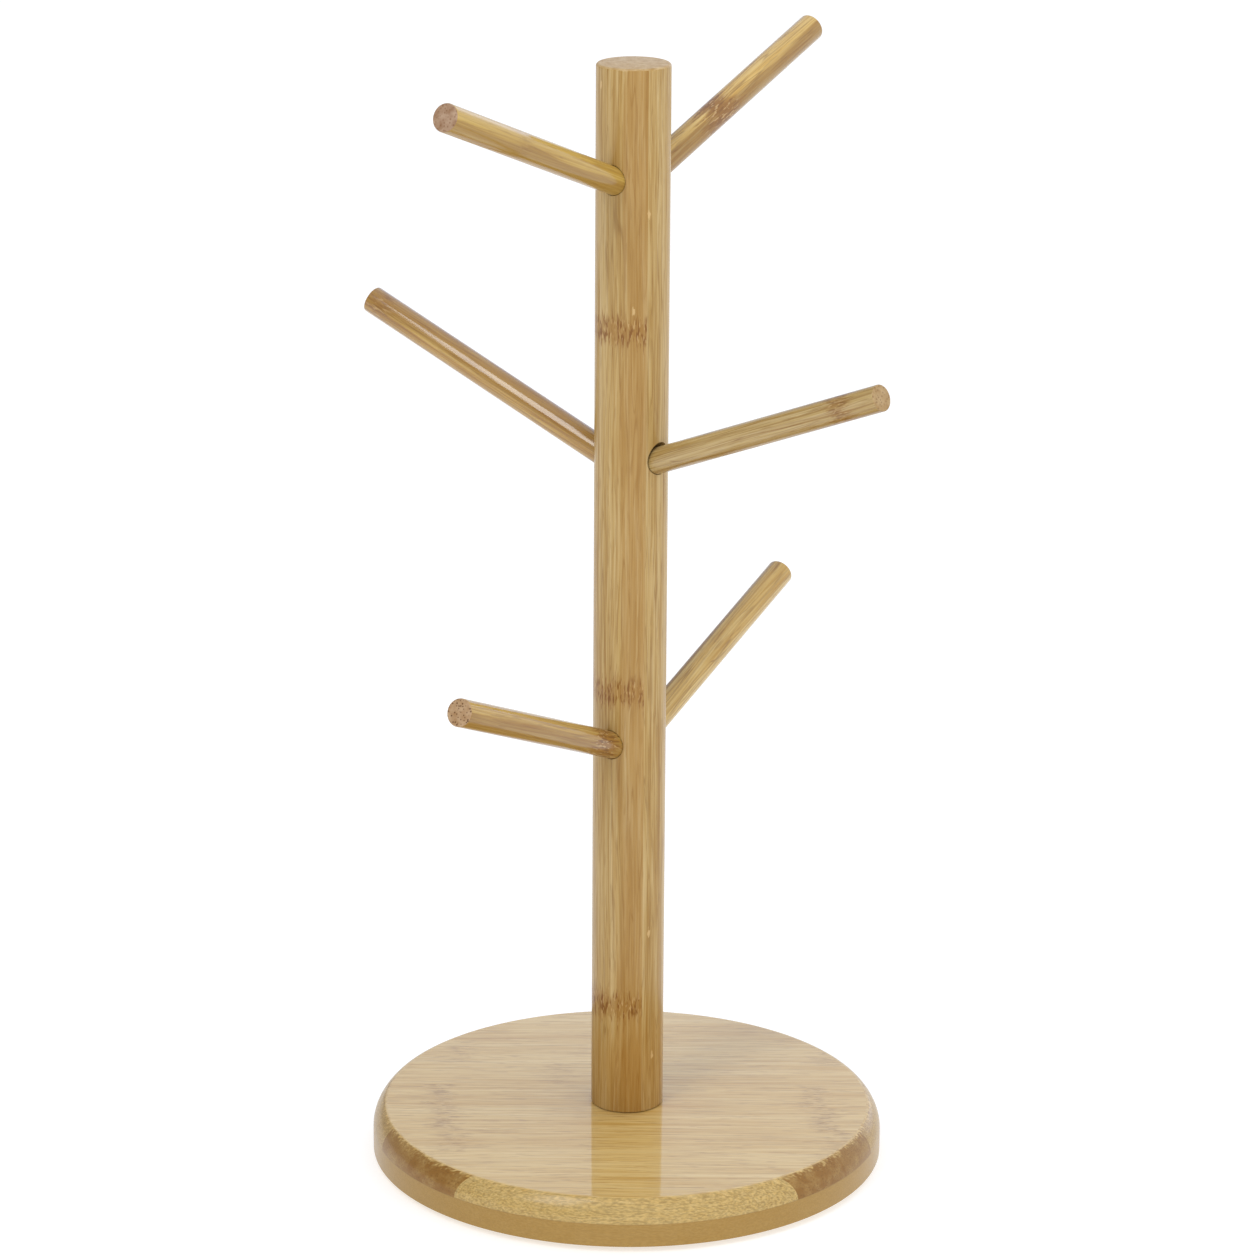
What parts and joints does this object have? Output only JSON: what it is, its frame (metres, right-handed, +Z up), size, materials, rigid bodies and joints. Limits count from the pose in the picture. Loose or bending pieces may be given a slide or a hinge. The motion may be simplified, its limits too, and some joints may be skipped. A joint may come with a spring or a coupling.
{
  "type": "mug tree",
  "caption": "Free-standing bamboo mug tree: round board, central post and sloping round arms in facing pairs that hold mugs by their handles.",
  "frame": {"origin": "on the post's axis, in the plane that the non-slip pads rest on", "axes": "+Z up along the post; -Y toward the viewer of the front view; +X to that viewer's right"},
  "size_m": [0.1833, 0.1833, 0.3931],
  "materials": {
    "bamboo_board": "clear gloss lacquer over laminated bamboo",
    "bamboo_post": "clear satin lacquer over laminated bamboo",
    "bamboo_arm": "clear satin lacquer over bamboo",
    "insert_brass": "plain machined",
    "screw_steel": "zinc plated",
    "pad_rubber": "matte translucent"
  },
  "bodies": {
    "root": {"base_board": "bamboo_board", "post": "bamboo_post", "arm_top_left": "bamboo_arm", "arm_top_right": "bamboo_arm", "arm_middle_left": "bamboo_arm", "arm_middle_right": "bamboo_arm", "arm_bottom_left": "bamboo_arm", "arm_bottom_right": "bamboo_arm", "threaded_insert": "insert_brass", "base_screw": "screw_steel", "pad_back_right": "pad_rubber", "pad_back_left": "pad_rubber", "pad_front_left": "pad_rubber", "pad_front_right": "pad_rubber"}
  },
  "joints": []
}
